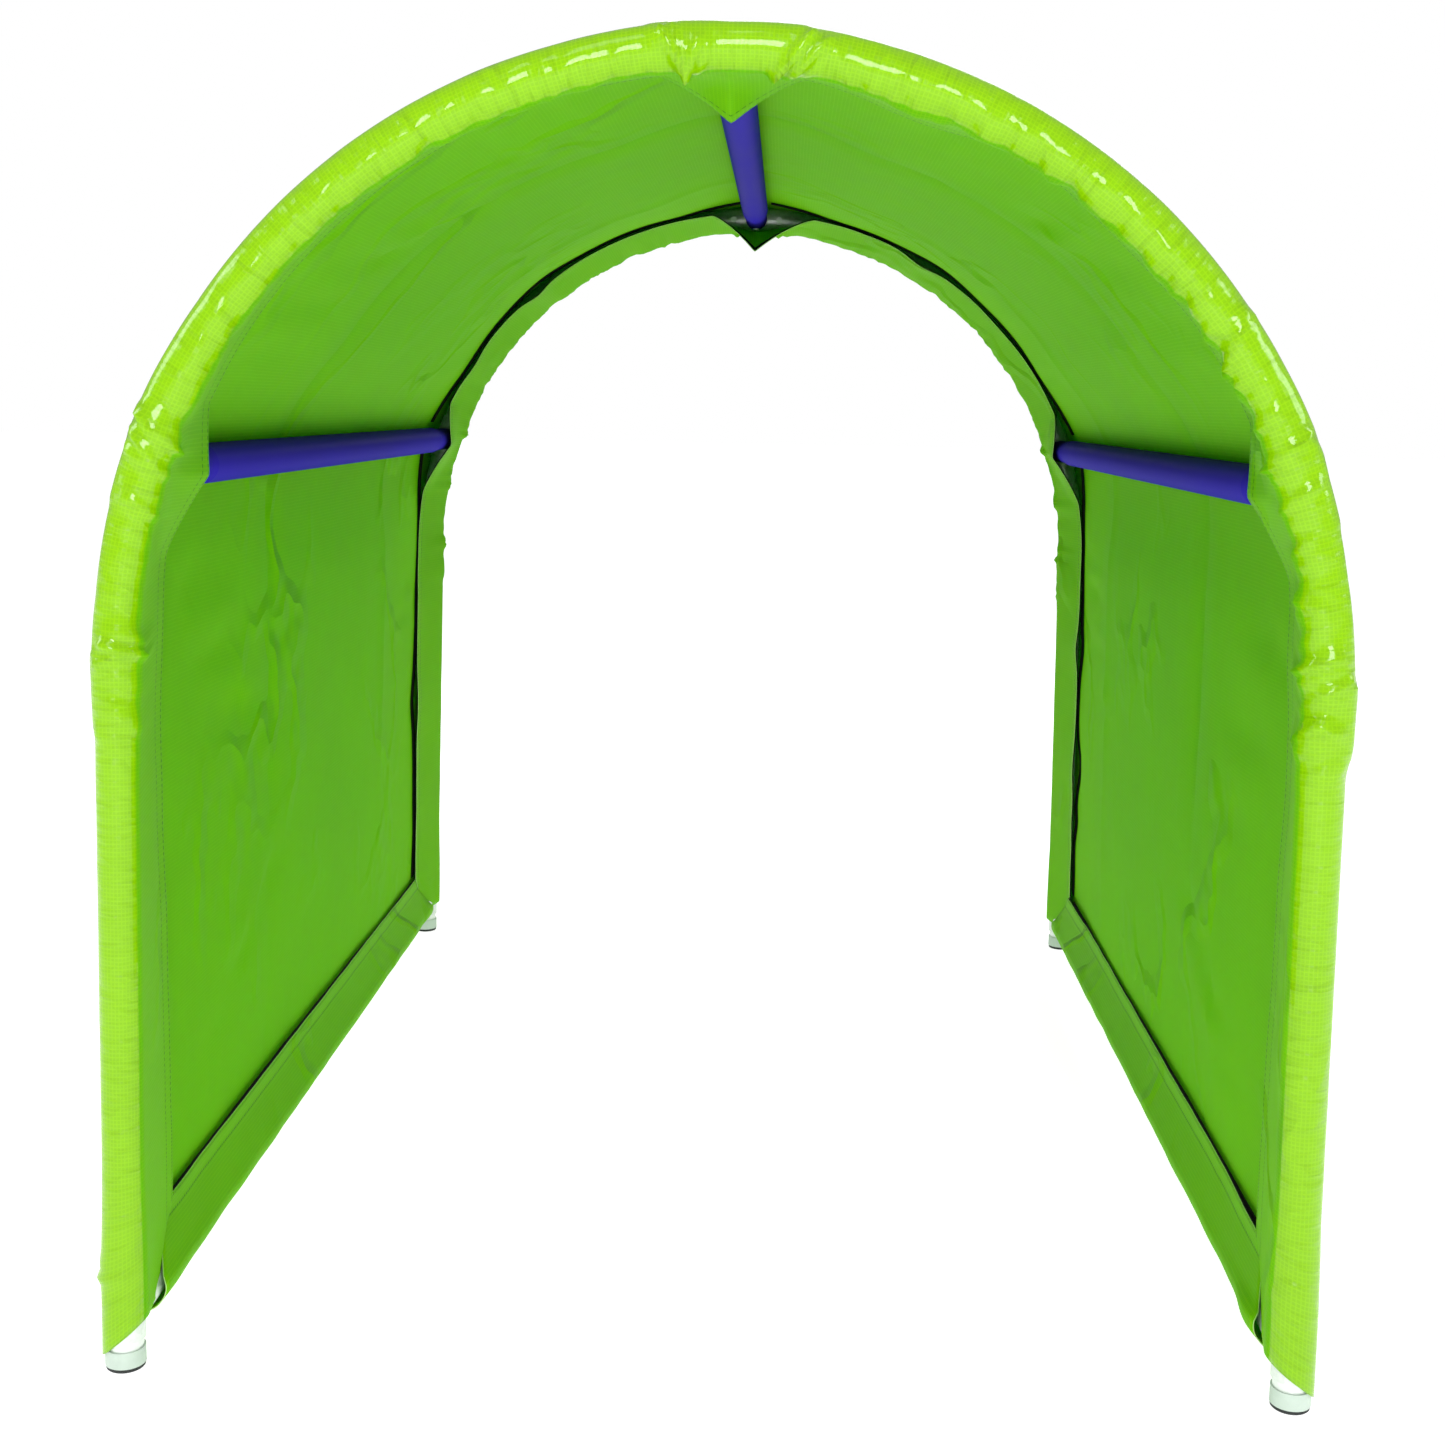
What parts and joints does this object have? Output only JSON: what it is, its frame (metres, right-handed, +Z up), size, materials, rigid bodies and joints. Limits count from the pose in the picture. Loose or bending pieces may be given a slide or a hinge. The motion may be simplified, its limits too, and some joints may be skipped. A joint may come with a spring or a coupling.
{
  "type": "play tunnel tent",
  "caption": "Free-standing arched tunnel tent: tube arches, crossbars and rails under a glossy sheet whose edges wrap the tubes and close with hook-and-loop.",
  "frame": {"origin": "on the floor, midway between the four feet", "axes": "+Z up, +Y along the tunnel from the front arch to the rear arch, +X across it to the right as seen from the front"},
  "size_m": [1.1166, 1.5304, 1.2033],
  "materials": {
    "galvanised_tube": "hot-dip galvanised, faint spangle",
    "zinc_fitting": "zinc plated, satin",
    "purple_powder_coat": "smooth satin powder coat",
    "grey_ferrule": "moulded light grey",
    "black_rubber": "matt moulded rubber",
    "zinc_screw": "bright zinc",
    "spring_steel": "bright rolled strip",
    "black_hook_and_loop": "woven tape, matt pile",
    "lime_coated_sheet": "glossy coating over a square scrim, duller inside"
  },
  "bodies": {
    "frame_and_cover": {"arc_front_left": "galvanised_tube", "arc_front_right": "galvanised_tube", "arc_rear_left": "galvanised_tube", "arc_rear_right": "galvanised_tube", "arch_flap_front": "lime_coated_sheet", "arch_flap_rear": "lime_coated_sheet", "arch_hook_strip_front": "black_hook_and_loop", "arch_hook_strip_rear": "black_hook_and_loop", "arch_loop_strip_front": "black_hook_and_loop", "arch_loop_strip_rear": "black_hook_and_loop", "arch_sleeve_front": "lime_coated_sheet", "arch_sleeve_rear": "lime_coated_sheet", "bottom_hem_left": "lime_coated_sheet", "bottom_hem_right": "lime_coated_sheet", "bottom_loop_strip_left": "black_hook_and_loop", "bottom_loop_strip_right": "black_hook_and_loop", "bottom_rail_left": "galvanised_tube", "bottom_rail_right": "galvanised_tube", "coupler_front_left": "zinc_fitting", "coupler_front_right": "zinc_fitting", "coupler_rear_left": "zinc_fitting", "coupler_rear_right": "zinc_fitting", "cover_panel": "lime_coated_sheet", "crossbar_left": "purple_powder_coat", "crossbar_right": "purple_powder_coat", "crossbar_top": "purple_powder_coat", "foot_ferrule_front_left": "grey_ferrule", "foot_ferrule_front_right": "grey_ferrule", "foot_ferrule_rear_left": "grey_ferrule", "foot_ferrule_rear_right": "grey_ferrule", "foot_pad_front_left": "black_rubber", "foot_pad_front_right": "black_rubber", "foot_pad_rear_left": "black_rubber", "foot_pad_rear_right": "black_rubber", "frame_screws": "zinc_screw", "leg_front_left": "galvanised_tube", "leg_front_right": "galvanised_tube", "leg_rear_left": "galvanised_tube", "leg_rear_right": "galvanised_tube", "rail_collar_front_left": "zinc_fitting", "rail_collar_front_right": "zinc_fitting", "rail_collar_rear_left": "zinc_fitting", "rail_collar_rear_right": "zinc_fitting", "ridge_tee_front": "zinc_fitting", "ridge_tee_rear": "zinc_fitting", "side_collar_front_left": "zinc_fitting", "side_collar_front_right": "zinc_fitting", "side_collar_rear_left": "zinc_fitting", "side_collar_rear_right": "zinc_fitting", "snap_clip_backs": "spring_steel"},
    "bottom_flap_left": {"bottom_flap_left": "lime_coated_sheet", "bottom_hook_strip_left": "black_hook_and_loop"},
    "bottom_flap_right": {"bottom_flap_right": "lime_coated_sheet", "bottom_hook_strip_right": "black_hook_and_loop"},
    "snap_button_front_left": {"snap_button_front_left": "spring_steel"},
    "snap_button_front_right": {"snap_button_front_right": "spring_steel"},
    "snap_button_rear_left": {"snap_button_rear_left": "spring_steel"},
    "snap_button_rear_right": {"snap_button_rear_right": "spring_steel"}
  },
  "joints": [
    {"name": "bottom_flap_left_peel", "type": "hinge", "parent": "frame_and_cover", "child": "bottom_flap_left", "pos_m": [-0.52302, 0, 0.06568], "axis": [0, 1, 0], "range_deg": [0, 120]},
    {"name": "bottom_flap_right_peel", "type": "hinge", "parent": "frame_and_cover", "child": "bottom_flap_right", "pos_m": [0.52302, 0, 0.06568], "axis": [0, -1, 0], "range_deg": [0, 120]},
    {"name": "snap_button_front_left_press", "type": "hinge", "parent": "frame_and_cover", "child": "snap_button_front_left", "pos_m": [-0.52674, -0.73165, 0.57656], "axis": [0.9998, 0, -0.0201], "range_deg": [0, 8], "stiffness_Nm_per_rad": 0.6, "springref_deg": -17.19},
    {"name": "snap_button_front_right_press", "type": "hinge", "parent": "frame_and_cover", "child": "snap_button_front_right", "pos_m": [0.52674, -0.73165, 0.57656], "axis": [0.9998, 0, 0.0201], "range_deg": [0, 8], "stiffness_Nm_per_rad": 0.6, "springref_deg": -17.19},
    {"name": "snap_button_rear_left_press", "type": "hinge", "parent": "frame_and_cover", "child": "snap_button_rear_left", "pos_m": [-0.52674, 0.73165, 0.57656], "axis": [-0.9998, 0, 0.0201], "range_deg": [0, 8], "stiffness_Nm_per_rad": 0.6, "springref_deg": -17.19},
    {"name": "snap_button_rear_right_press", "type": "hinge", "parent": "frame_and_cover", "child": "snap_button_rear_right", "pos_m": [0.52674, 0.73165, 0.57656], "axis": [-0.9998, 0, -0.0201], "range_deg": [0, 8], "stiffness_Nm_per_rad": 0.6, "springref_deg": -17.19}
  ]
}
